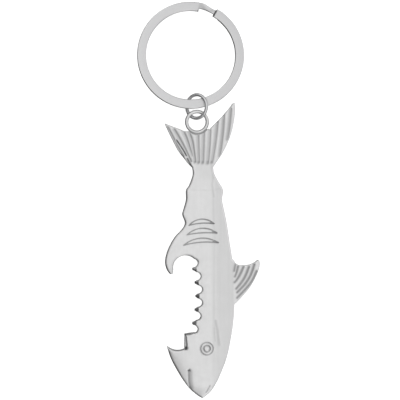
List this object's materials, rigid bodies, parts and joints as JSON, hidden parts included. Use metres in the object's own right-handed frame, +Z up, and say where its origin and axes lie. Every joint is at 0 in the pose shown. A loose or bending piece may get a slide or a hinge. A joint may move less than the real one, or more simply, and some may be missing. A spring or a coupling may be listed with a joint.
{
  "type": "bottle opener key ring",
  "caption": "Flat cast shark-shaped bottle opener with a toothed cap-gripping mouth, a loop in its tail, a round jump ring and a flat split key ring.",
  "frame": {"origin": "on the casting's flat back face, on the body's centre line, halfway along the casting", "axes": "+Y from the nose towards the key ring, +X from the belly and mouth to the back and dorsal fin, +Z up from the surface it lies on"},
  "size_m": [0.0367, 0.1184, 0.0048],
  "materials": {
    "cast_nickel": "satin",
    "ring_wire": "gloss",
    "flat_ring": "satin"
  },
  "bodies": {
    "opener": {"shark_casting": "cast_nickel"},
    "jump_ring": {"jump_ring": "ring_wire"},
    "key_ring": {"key_ring": "flat_ring"}
  },
  "joints": [
    {"name": "jump_ring_swing", "type": "hinge", "parent": "opener", "child": "jump_ring", "pos_m": [-0.0018, 0.04127, 0.0023], "axis": [0.9397, -0.342, 0], "range_deg": [0, 60]},
    {"name": "key_ring_fold", "type": "hinge", "parent": "jump_ring", "child": "key_ring", "pos_m": [-0.0022, 0.0442, 0.00242], "axis": [0.866, 0.5, 0], "range_deg": [0, 60]}
  ]
}
